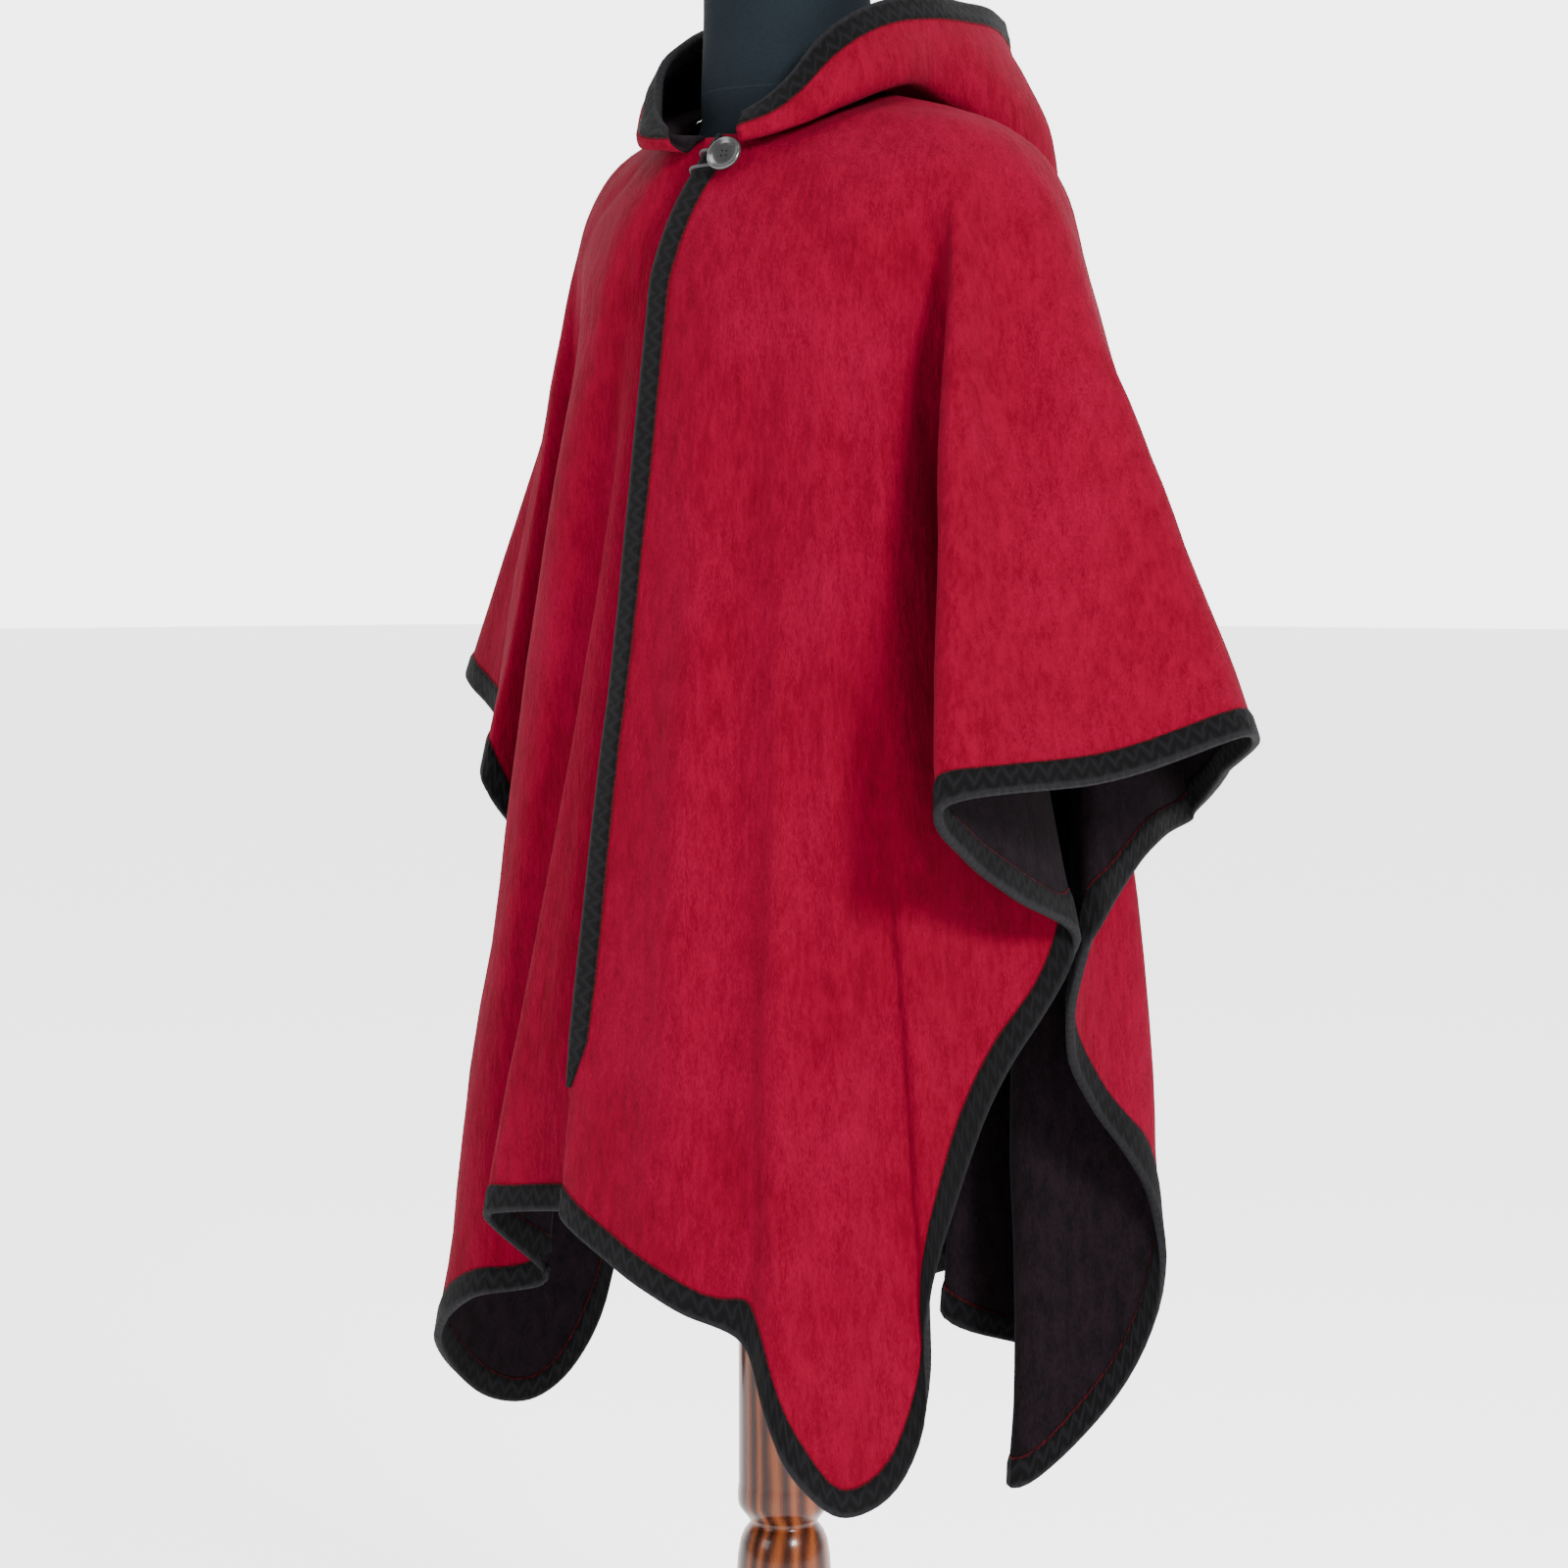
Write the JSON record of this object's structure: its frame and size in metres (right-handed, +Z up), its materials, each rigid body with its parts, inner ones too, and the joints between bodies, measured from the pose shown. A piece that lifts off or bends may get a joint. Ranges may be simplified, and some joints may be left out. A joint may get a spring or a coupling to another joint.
{
  "type": "hooded poncho on a limbless dress form and stand",
  "caption": "Wide hooded poncho with braided edges, side slits and one throat button, draped over a limbless dress form on a turned stand.",
  "frame": {"origin": "centre of the flat underside of the stand's round foot", "axes": "+Z up, -Y towards the front of the garment, +X towards the wearer's left"},
  "size_m": [0.8489, 0.5171, 1.59],
  "materials": {
    "wool": "brushed pile, matt",
    "braid": "woven braid, matt",
    "horn": "polished horn",
    "cover": "fine jersey, matt",
    "wood": "polished varnish"
  },
  "bodies": {
    "root": {"poncho_cloth": "wool", "hood_cloth": "wool", "braid_outer": "braid", "braid_slit_left": "braid", "braid_slit_right": "braid", "braid_hood": "braid", "button": "horn", "button_loop": "braid", "form_torso": "cover", "stand_pole": "wood", "stand_foot": "wood"}
  },
  "joints": []
}
